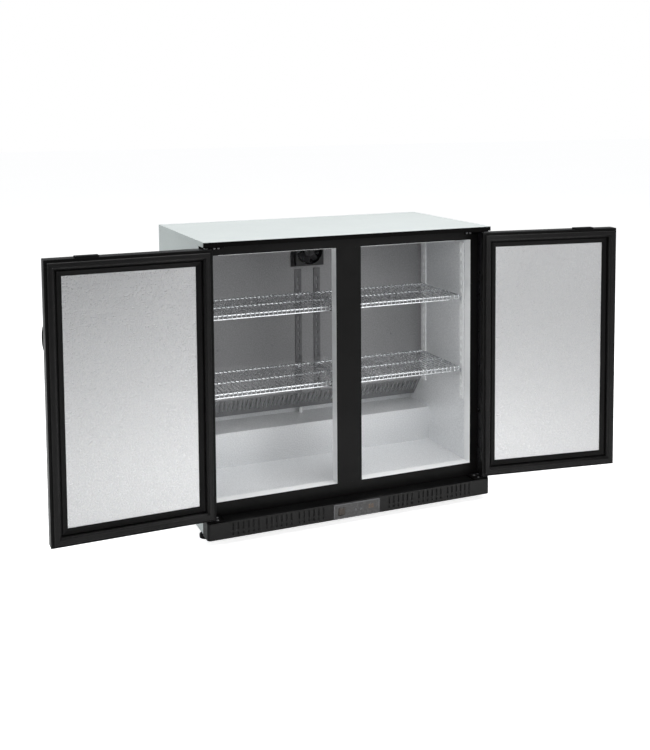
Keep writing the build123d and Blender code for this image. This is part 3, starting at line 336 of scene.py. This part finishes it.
MATERIALS = {
    "pale_steel": coated_steel("pale_steel", (0.67, 0.715, 0.706), (0.71, 0.755, 0.746), 0.42),
    "black_steel": coated_steel(
        "black_steel", (0.0020, 0.0019, 0.0019), (0.0032, 0.003, 0.003), 0.34, peel=0.00003, gloss=0.05
    ),
    "door_coat": coated_steel(
        "door_coat", (0.0036, 0.0036, 0.0038), (0.0055, 0.0055, 0.0058), 0.30, peel=0.00004, gloss=0.40
    ),
    "compressor_black": coated_steel(
        "compressor_black", (0.010, 0.010, 0.011), (0.018, 0.018, 0.019), 0.30
    ),
    "white_sheet": coated_steel("white_sheet", (0.72, 0.73, 0.73), (0.78, 0.79, 0.79), 0.40),
    "black_plastic": moulded_plastic(
        "black_plastic",
        (0.0032, 0.0031, 0.0031),
        (0.0055, 0.0053, 0.0052),
        0.36,
        grain=0.00002,
        gloss=0.15,
    ),
    "grip_plastic": moulded_plastic(
        "grip_plastic", (0.005, 0.005, 0.0052), (0.008, 0.008, 0.0083), 0.30, grain=0.00003, gloss=0.42
    ),
    "kick_plastic": vented_plastic(
        "kick_plastic", (0.009, 0.0088, 0.0086), (0.013, 0.0127, 0.0124), 0.34, filter_y=FILTER_Y
    ),
    "grey_plastic": moulded_plastic("grey_plastic", (0.11, 0.11, 0.115), (0.14, 0.14, 0.145), 0.30),
    "white_plastic": moulded_plastic("white_plastic", (0.74, 0.75, 0.75), (0.80, 0.81, 0.81), 0.35),
    "bush_plastic": moulded_plastic("bush_plastic", (0.66, 0.65, 0.60), (0.74, 0.73, 0.68), 0.45),
    "fan_plastic": moulded_plastic("fan_plastic", (0.012, 0.012, 0.013), (0.022, 0.022, 0.023), 0.40),
    "smoke_lens": smoke_lens("smoke_lens"),
    "lamp_diffuser": lamp_diffuser("lamp_diffuser"),
    "amber_switch": amber_plastic("amber_switch", (0.034, 0.028, 0.023), (0.046, 0.036, 0.028), 0.004),
    "amber_digits": amber_plastic("amber_digits", (0.11, 0.065, 0.03), (0.15, 0.085, 0.035), 0.15),
    "stucco_aluminium": stucco(
        "stucco_aluminium", (0.71, 0.715, 0.728), (0.80, 0.798, 0.796), 0.29, depth=0.0006
    ),
    "liner_aluminium": stucco(
        "liner_aluminium", (0.66, 0.67, 0.68), (0.84, 0.85, 0.86), 0.42, depth=0.0004, metal=0.55
    ),
    "cover_sheet": stucco(
        "cover_sheet", (0.21, 0.21, 0.213), (0.30, 0.30, 0.305), 0.38, depth=0.0003, metal=0.5
    ),
    "pilasters": pilaster_sheet("pilasters"),
    "foam": rigid_foam("foam"),
    "rubber_seal": soft_rubber("rubber_seal"),
    "chrome_wire": plated_wire("chrome_wire"),
    "copper_tube": copper("copper_tube"),
    "zinc_steel": brushed_metal("zinc_steel", (0.62, 0.63, 0.65), 0.36, "X"),
    "dark_screws": brushed_metal("dark_screws", (0.26, 0.26, 0.27), 0.38, "X"),
    "lock_chrome": brushed_metal("lock_chrome", (0.72, 0.72, 0.73), 0.20, "Z"),
    "fin_stack": brushed_metal("fin_stack", (0.72, 0.73, 0.74), 0.34, "Z"),
}


def dress(thing, slot):
    """Gives an object its material, in every slot it has."""
    thing.data.materials.clear()
    thing.data.materials.append(MATERIALS[slot])


for part in frame["record"]["subparts"]:
    dress(nodes[part["node"]], part["material_slot"])
dress(nodes["wall_pilasters"], "pilasters")
dress(nodes["kick_grille"], "kick_plastic")
dress(nodes["left_door_outer_skin"], "door_coat")
dress(nodes["right_door_outer_skin"], "door_coat")


# Pieces made here --------------------------------------------------------------------------------


def make(name, verts, faces, slot, body, smooth=False, replaced=(), look=None):
    """A mesh piece that rides on a body, with its material, and perhaps in place of CAD nodes."""
    mesh = bpy.data.meshes.new(name)
    mesh.from_pydata([tuple(v) for v in verts], [], faces)
    shape = bmesh.new()
    shape.from_mesh(mesh)
    bmesh.ops.recalc_face_normals(shape, faces=shape.faces)
    shape.to_mesh(mesh)
    shape.free()
    for face in mesh.polygons:
        face.use_smooth = smooth
    piece = bpy.data.objects.new(name, mesh)
    bpy.context.scene.collection.objects.link(piece)
    dress(piece, look or slot)
    if replaced:
        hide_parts(*replaced)
    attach(piece, body)
    return piece


def joined(shapes):
    """Several (verts, faces) shapes as one."""
    verts = []
    faces = []
    for more_verts, more_faces in shapes:
        start = len(verts)
        verts += more_verts
        faces += [tuple(start + corner for corner in face) for face in more_faces]
    return verts, faces


def tube_shape(rings, closed=False):
    """Faces around a run of equal rings, capped at both ends unless the run closes on itself."""
    count = len(rings[0])
    verts = [point for ring in rings for point in ring]
    faces = []
    for step in range(len(rings) if closed else len(rings) - 1):
        here = step * count
        there = (step + 1) % len(rings) * count
        for k in range(count):
            nxt = (k + 1) % count
            faces.append((here + k, here + nxt, there + nxt, there + k))
    if not closed:
        faces.append(tuple(range(count)))
        faces.append(tuple(range(len(verts) - count, len(verts))))
    return verts, faces


def lathe_shape(profile, centre, axis, across, turns=32):
    """A closed (radius, height) outline turned around an axis; across is any direction square to it."""
    side = axis.cross(across)
    rings = []
    for step in range(turns):
        angle = 2 * pi * step / turns
        out = across * cos(angle) + side * sin(angle)
        rings.append([centre + out * r + axis * h for r, h in profile])
    return tube_shape(rings, closed=True)


def box_shape(low, high):
    """A block between two corners."""
    verts = []
    for x in (low[0], high[0]):
        for y in (low[1], high[1]):
            for z in (low[2], high[2]):
                verts.append(Vector((x, y, z)))
    faces = [(0, 1, 3, 2), (4, 6, 7, 5), (0, 4, 5, 1), (2, 3, 7, 6), (0, 2, 6, 4), (1, 5, 7, 3)]
    return verts, faces


class Door:
    """Points on one door: s from the hinge axis to the free edge, t towards the inner face."""

    def __init__(self, name, side):
        self.body = name + "_door"
        self.name = name
        hinge = next(joint for joint in frame["joints"] if joint["name"] == name + "_door_hinge")
        turn = radians(-hinge["range_deg"][0])
        self.origin = Vector((hinge["pos_m"][0], hinge["pos_m"][1], 0))
        self.along = Vector((-side * cos(turn), -sin(turn), 0))
        self.inward = Vector((0, 0, 1)).cross(self.along) * -side
        low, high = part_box(name + "_door_outer_skin")
        self.z0 = low.z
        self.z1 = high.z
        self.s0 = -0.012
        self.s1 = 0.434

    def at(self, s, t, z):
        """A point of the door."""
        return self.origin + self.along * s + self.inward * t + Vector((0, 0, z))

    def oval(self, s, t, z, half_s, half_z, count):
        """An oval parallel to the door around a point, with t and the half widths in millimetres."""
        points = []
        for k in range(count):
            angle = 2 * pi * k / count
            points.append(self.at(s + half_s * MM * cos(angle), t * MM, z + half_z * MM * sin(angle)))
        return points

    def ring(self, profile):
        """A closed (inset, t) outline in millimetres swept around the door with mitred corners."""
        corners = []
        for left, low in ((1, 1), (0, 1), (0, 0), (1, 0)):
            corner = []
            for inset, t in profile:
                s = self.s0 + inset * MM if left else self.s1 - inset * MM
                z = self.z0 + inset * MM if low else self.z1 - inset * MM
                corner.append(self.at(s, t * MM, z))
            corners.append(corner)
        return tube_shape(corners, closed=True)


def bulge(start, end, depth, steps=6):
    """Points of a shallow arc between two profile points, bulging to the left of the way."""
    way = Vector(end) - Vector(start)
    aside = Vector((-way.y, way.x)).normalized()
    points = []
    for step in range(steps + 1):
        share = step / steps
        points.append(tuple(Vector(start) + way * share + aside * depth * sin(pi * share)))
    return points


def door_gasket(door):
    """The magnetic seal: a foot on the frame, two pleats and a flat magnet pocket with a thin flap."""
    profile = [(9.0, 21.5)]
    profile += bulge((8.4, 21.9), (9.2, 24.2), 0.5)
    profile += bulge((9.6, 24.6), (8.3, 26.6), -0.4)
    profile += bulge((8.2, 27.0), (9.6, 29.6), 0.5)
    profile += [(13.6, 29.6), (13.9, 29.2), (14.2, 29.6), (19.6, 29.6)]
    profile += bulge((20.2, 29.5), (21.4, 27.8), 0.4)
    profile += bulge((21.4, 27.4), (20.6, 25.4), -0.5)
    profile += [(24.6, 23.0), (25.0, 22.4), (24.8, 21.5)]
    make(
        f"{door.name}_seal",
        *door.ring(profile),
        "rubber_seal",
        door.body,
        replaced=(f"{door.name}_door_gasket",),
    )


def door_frame(door):
    """The extruded inner frame: a rounded outer edge, a fine bead and a slope down to the lining."""
    profile = [(0.0, 9.0), (0.0, 20.2)]
    profile += bulge((0.1, 20.6), (1.0, 21.5), 0.15)
    profile += [(5.4, 21.5), (5.8, 21.1), (6.6, 21.1), (7.0, 21.5), (25.8, 21.5)]
    profile += bulge((26.0, 21.4), (26.6, 20.6), 0.10)
    profile += [(26.8, 13.6), (27.2, 13.2), (30.4, 13.2), (30.8, 13.6), (31.0, 16.6)]
    profile += bulge((31.2, 17.0), (32.2, 17.2), 0.15)
    profile += [(40.0, 15.4), (40.4, 14.9), (41.0, 14.8)]
    profile += bulge((43.4, 14.4), (45.0, 12.9), 0.3)
    profile += [(45.0, 12.02), (38.1, 12.02), (38.1, 9.0)]
    make(
        f"{door.name}_inner_frame",
        *door.ring(profile),
        "black_plastic",
        door.body,
        replaced=(f"{door.name}_door_frame",),
    )


def door_handle(door):
    """A bowed crescent grip with rounded edges on one oval stem, over a small foot plate."""
    middle = 0.620
    half = 0.044
    grip_s = 0.4255
    stem_s = 0.425
    foot_s = 0.4245
    outer_t = -42.0 * MM
    bow = 16.0 * MM
    rings = []
    for step in range(33):
        share = step / 16 - 1
        width = 8.5 * (1 - 0.75 * abs(share) ** 3) * MM
        thick = 2.0 * (1 - 0.55 * abs(share) ** 4) * MM
        t = outer_t + bow * share**2
        ring = []
        for k in range(20):
            angle = 2 * pi * k / 20
            across = width * abs(cos(angle)) ** 0.6 * (1 if cos(angle) > 0 else -1)
            deep = thick * abs(sin(angle)) ** 0.8 * (1 if sin(angle) > 0 else -1)
            ring.append(door.at(grip_s + across, t + deep, middle + half * share))
        rings.append(ring)
    blade = tube_shape(rings)
    flares = ((-41.5, 1.0), (-37.0, 0.9), (-28.0, 0.86), (-22.0, 1.0), (-20.0, 1.5))
    rings = [door.oval(stem_s, t, middle, 5.0 * flare, 8.5 * flare, 24) for t, flare in flares]
    stem = tube_shape(rings)
    steps = ((-18.0, 1.0), (-19.4, 1.0), (-20.0, 0.94))
    rings = [door.oval(foot_s, t, middle, 9.2 * grow, 22.0 * grow, 32) for t, grow in steps]
    foot = tube_shape(rings)
    make(
        f"{door.name}_grip",
        *joined((blade, stem, foot)),
        "black_plastic",
        door.body,
        smooth=True,
        replaced=(f"{door.name}_door_handle",),
        look="grip_plastic",
    )


for door in (Door("left", -1), Door("right", 1)):
    door_gasket(door)
    door_frame(door)
    door_handle(door)


FRONT = Vector((0, -1, 0))
REAR = Vector((0, 1, 0))
UP = Vector((0, 0, 1))

HINGE_SCREW = (1.8 * MM, 3.8 * MM, 4.0 * MM)
COVER_SCREW = (1.4 * MM, 3.2 * MM, 1.0 * MM)
PANEL_SCREW = (1.2 * MM, 3.6 * MM, 1.0 * MM)
RIVET = (0.8 * MM, 1.8 * MM, 0.5 * MM)


def screw_shape(head, radius, depth):
    """A pan-head screw at the origin, its head towards +Z, with a cross recess."""
    shank = radius * 0.5
    rim = head * 0.35
    profile = [(0.0, -depth), (shank, -depth), (shank, 0.0), (radius, 0.0), (radius, rim)]
    profile += [(radius * cos(a), rim + (head - rim) * sin(a)) for a in (0.5, 0.9, 1.2)]
    profile += [(0.0, head)]
    return lathe_shape(profile, Vector((0, 0, 0)), Vector((0, 0, 1)), Vector((1, 0, 0)), 28)


def screws(name, places, slot, size, replaced=(), look=None):
    """Cross-recess screws on the cabinet.

    Each place is (point under the head, outward direction).
    The size is (head height, head radius, shank depth).
    """
    head, radius, depth = size
    arm = radius * 0.62
    slim = radius * 0.14
    low = head * 0.45
    arms = (
        box_shape((-arm, -slim, low), (arm, slim, head * 2)),
        box_shape((-slim, -arm, low), (slim, arm, head * 2)),
    )
    helpers = []
    for part, (verts, faces) in (("_one", screw_shape(head, radius, depth)), ("_cutter", joined(arms))):
        mesh = bpy.data.meshes.new(name + part)
        mesh.from_pydata([tuple(v) for v in verts], [], faces)
        shape = bmesh.new()
        shape.from_mesh(mesh)
        bmesh.ops.remove_doubles(shape, verts=shape.verts, dist=1e-7)
        bmesh.ops.recalc_face_normals(shape, faces=shape.faces)
        shape.to_mesh(mesh)
        shape.free()
        helper = bpy.data.objects.new(name + part, mesh)
        bpy.context.scene.collection.objects.link(helper)
        helpers.append(helper)
    screw, cutter = helpers
    cut = screw.modifiers.new("recess", "BOOLEAN")
    cut.object = cutter
    cut.operation = "DIFFERENCE"
    cut.solver = "EXACT"
    cut.use_self = True
    bpy.context.view_layer.update()
    done = bpy.data.meshes.new_from_object(screw.evaluated_get(bpy.context.evaluated_depsgraph_get()))
    faces = [tuple(face.vertices) for face in done.polygons]
    shapes = []
    for index, (place, out) in enumerate(places):
        turn = out.to_track_quat("Z", "Y").to_matrix() @ Matrix.Rotation(0.7 * index, 3, "Z")
        shapes.append(([place + turn @ v.co for v in done.vertices], faces))
    for helper in helpers:
        bpy.data.objects.remove(helper)
    make(name, *joined(shapes), slot, "cabinet", replaced=replaced, look=look)


def seven_segment(digit, x, z, height, y):
    """One digit of thin bars that face the front."""
    half = height / 2
    wide = height * 0.5
    bar = height * 0.10
    bars = {
        "a": ((0, height - bar), (wide, height)),
        "g": ((0, half - bar / 2), (wide, half + bar / 2)),
        "d": ((0, 0), (wide, bar)),
        "f": ((0, half), (bar, height)),
        "b": ((wide - bar, half), (wide, height)),
        "e": ((0, 0), (bar, half)),
        "c": ((wide - bar, 0), (wide, half)),
    }
    lit = {"0": "abcdef", "3": "abgcd"}[digit]
    shapes = []
    for name in lit:
        (x0, z0), (x1, z1) = bars[name]
        gap = bar * 0.12
        low = (x + x0 + gap, y - 0.0001, z + z0 + gap)
        high = (x + x1 - gap, y + 0.0001, z + z1 - gap)
        shapes.append(box_shape(low, high))
    return shapes


def islands(node):
    """The box of each separate solid in a CAD node."""
    shape = bmesh.new()
    shape.from_mesh(nodes[node].data)
    shape.transform(nodes[node].matrix_world)
    bmesh.ops.remove_doubles(shape, verts=shape.verts, dist=1e-6)
    left = set(shape.verts)
    boxes = []
    while left:
        reached = [left.pop()]
        points = []
        while reached:
            vert = reached.pop()
            points.append(vert.co.copy())
            for edge in vert.link_edges:
                other = edge.other_vert(vert)
                if other in left:
                    left.remove(other)
                    reached.append(other)
        low = Vector([min(p[k] for p in points) for k in range(3)])
        high = Vector([max(p[k] for p in points) for k in range(3)])
        boxes.append((low, high))
    shape.free()
    return sorted(boxes, key=lambda box: tuple(box[0]))


def hinge_screws():
    """The hinge screws: upright ones in the bottom plates and level ones in the top brackets."""
    places = []
    head = HINGE_SCREW[0]
    for low, high in islands("hinge_screws"):
        middle = (low + high) / 2
        if high.z - low.z > high.y - low.y:
            places.append((Vector((middle.x, middle.y, high.z - head)), UP))
        else:
            places.append((Vector((middle.x, low.y + head, middle.z)), FRONT))
    screws(
        "hinge_fixings",
        places,
        "zinc_steel",
        HINGE_SCREW,
        replaced=("hinge_screws",),
        look="dark_screws",
    )


def panel_screws():
    """Small screws that hold the evaporator cover, the back panel and the rear grille."""
    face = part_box("evaporator_cover")[0].y
    places = [(Vector((x, face, z)), FRONT) for x in (-0.30, -0.12, 0.12, 0.30) for z in (0.785, 0.46)]
    screws("cover_fixings", places, "zinc_steel", COVER_SCREW, look="dark_screws")
    low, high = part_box("back_panel")
    side = 0.012
    across = [low.x + side + (high.x - low.x - 2 * side) * step / 5 for step in range(6)]
    heights = (low.z + 0.010, high.z - 0.010)
    places = [(Vector((x, high.y, z)), REAR) for x in across for z in heights]
    screws("back_fixings", places, "zinc_steel", PANEL_SCREW)
    low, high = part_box("rear_grille")
    heights = (low.z + 0.012, high.z - 0.012)
    places = [(Vector((x, high.y, z)), REAR) for x in across[::5] for z in heights]
    places += [(Vector((x, high.y, high.z - 0.008)), REAR) for x in across[1:-1]]
    screws("grille_fixings", places, "zinc_steel", PANEL_SCREW)


def display():
    """The lit temperature read-out on the lens: 3.0."""
    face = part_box("control_window")[0].y
    height = 0.0105
    base = 0.0400
    point = 0.0011
    flat = 0.0001
    shapes = seven_segment("3", 0.0375, base, height, face)
    shapes.append(box_shape((0.0445, face - flat, base), (0.0445 + point, face + flat, base + point)))
    shapes += seven_segment("0", 0.0475, base, height, face)
    make("read_out", *joined(shapes), "amber_switch", "cabinet", look="amber_digits")


def data_plate():
    """A blank riveted plate on the back, with a raised border."""
    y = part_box("back_panel")[1].y
    face = y + 0.5 * MM
    x0, x1, z0, z1 = 0.20, 0.30, 0.30, 0.36
    border = 2.5 * MM
    shapes = [box_shape((x0, y - 0.2 * MM, z0), (x1, face, z1))]
    for a, b, c, d in (
        (x0, x1, z0, z0 + border),
        (x0, x1, z1 - border, z1),
        (x0, x0 + border, z0 + border, z1 - border),
        (x1 - border, x1, z0 + border, z1 - border),
    ):
        shapes.append(box_shape((a, face, c), (b, face + 0.4 * MM, d)))
    make("data_plate", *joined(shapes), "zinc_steel", "cabinet")
    inset = 6.0 * MM
    corners = [(x, z) for x in (x0 + inset, x1 - inset) for z in (z0 + inset, z1 - inset)]
    places = [(Vector((x, face, z)), REAR) for x, z in corners]
    screws("plate_rivets", places, "lock_chrome", RIVET)


hinge_screws()
panel_screws()
display()
data_plate()


# Studio ------------------------------------------------------------------------------------------


def studio_floor():
    """A wide pale floor that glows only towards the camera, so it looks white and lights nothing."""
    mesh = bpy.data.meshes.new("studio_floor")
    reach = 30.0
    corners = [(-reach, -reach, 0), (reach, -reach, 0), (reach, reach, 0), (-reach, reach, 0)]
    mesh.from_pydata(corners, [], [(0, 1, 2, 3)])
    floor = bpy.data.objects.new("studio_floor", mesh)
    bpy.context.scene.collection.objects.link(floor)
    look = Look("studio_floor", Roughness=0.8, Specular_IOR_Level=0.0)
    look.paint(look.ramp(look.noise(0.5, 2.0), (0.90, 0.90, 0.90), (0.93, 0.93, 0.93), 0.3, 0.7))
    lift = look.node("ShaderNodeMath", operation="MULTIPLY")
    lift.inputs[1].default_value = 0.85
    look.link(look.node("ShaderNodeLightPath").outputs["Is Camera Ray"], lift.inputs[0])
    look.shader.inputs["Emission Color"].default_value = WHITE
    look.link(lift.outputs[0], look.shader.inputs["Emission Strength"])
    mesh.materials.append(look.material)


def soft_light(name, place, target, size, power, tint=(1.0, 1.0, 1.0), inside=False):
    """A square light that looks at a point. One inside the cabinet can't be seen itself."""
    data = bpy.data.lights.new(name, "AREA")
    data.shape = "SQUARE"
    data.size = size
    data.energy = power
    data.color = tint
    light = bpy.data.objects.new(name, data)
    light.location = place
    light.visible_camera = not inside
    light.rotation_euler = (Vector(target) - Vector(place)).to_track_quat("-Z", "Y").to_euler()
    bpy.context.scene.collection.objects.link(light)


def studio_world():
    """A white backdrop to look at and a dimmer room around the object, darkest high on the left."""
    world = bpy.data.worlds.new("studio")
    world.use_nodes = True
    tree = world.node_tree
    backdrop = tree.nodes["Background"]
    backdrop.inputs["Color"].default_value = WHITE
    room = tree.nodes.new("ShaderNodeBackground")
    place = tree.nodes.new("ShaderNodeTexCoord")
    lean = tree.nodes.new("ShaderNodeVectorMath")
    lean.operation = "DOT_PRODUCT"
    lean.inputs[1].default_value = (-0.60, -0.10, 0.60)
    tree.links.new(place.outputs["Generated"], lean.inputs[0])
    raised = tree.nodes.new("ShaderNodeMath")
    raised.operation = "ADD"
    raised.inputs[1].default_value = 0.45
    tree.links.new(lean.outputs["Value"], raised.inputs[0])
    ramp = tree.nodes.new("ShaderNodeValToRGB")
    low, high = ramp.color_ramp.elements
    low.position = 0.0
    low.color = (0.26, 0.264, 0.27, 1.0)
    high.position = 0.95
    high.color = (0.12, 0.124, 0.13, 1.0)
    tree.links.new(raised.outputs["Value"], ramp.inputs["Fac"])
    tree.links.new(ramp.outputs["Color"], room.inputs["Color"])
    seen = tree.nodes.new("ShaderNodeLightPath")
    choice = tree.nodes.new("ShaderNodeMixShader")
    tree.links.new(seen.outputs["Is Camera Ray"], choice.inputs[0])
    tree.links.new(room.outputs[0], choice.inputs[1])
    tree.links.new(backdrop.outputs[0], choice.inputs[2])
    tree.links.new(choice.outputs[0], tree.nodes["World Output"].inputs["Surface"])
    bpy.context.scene.world = world


def studio_camera():
    """A camera a little left of the cabinet's middle and a little above its top."""
    data = bpy.data.cameras.new("camera")
    data.sensor_fit = "AUTO"
    data.sensor_width = 36.0
    data.lens = 49.661
    data.shift_y = -0.24667
    data.dof.use_dof = False
    camera = bpy.data.objects.new("camera", data)
    yaw = radians(22.785)
    pitch = radians(-4.396)
    roll = radians(-0.412)
    turn = Matrix.Rotation(-yaw, 4, "Z") @ Matrix.Rotation(pi / 2 + pitch, 4, "X")
    turn = turn @ Matrix.Rotation(roll, 4, "Z")
    camera.matrix_world = Matrix.Translation((-1.2182, -2.8901, 1.2028)) @ turn
    bpy.context.scene.collection.objects.link(camera)
    bpy.context.scene.camera = camera


studio_floor()
studio_world()
studio_camera()
soft_light("overhead", (0.2, 0.1, 4.0), (0.2, 0.1, 0.0), 4.0, 158)
soft_light("left", (-4.0, 0.4, 1.6), (0, 0.4, 0.5), 2.0, 41, (0.95, 1.0, 0.985))
soft_light("right", (2.5, -4.2, 1.3), (0.6, 0.0, 0.5), 1.5, 12)
soft_light("apron", (0.15, -0.75, 0.9), (0.15, -0.75, 0.0), 0.8, 5.6)
soft_light("front", (0.3, -2.6, 3.5), (0.0, 0.0, 0.3), 1.2, 7)
for name, x in (("left_inside", -0.225), ("right_inside", 0.225)):
    soft_light(name, (x, 0.0, 0.37), (x, 0.0, 0.10), 0.20, 0.22, inside=True)
soft_light("right_wall", (0.10, -0.02, 0.51), (0.43, -0.02, 0.51), 0.12, 0.13, inside=True)
bpy.context.scene.view_settings.view_transform = "Standard"
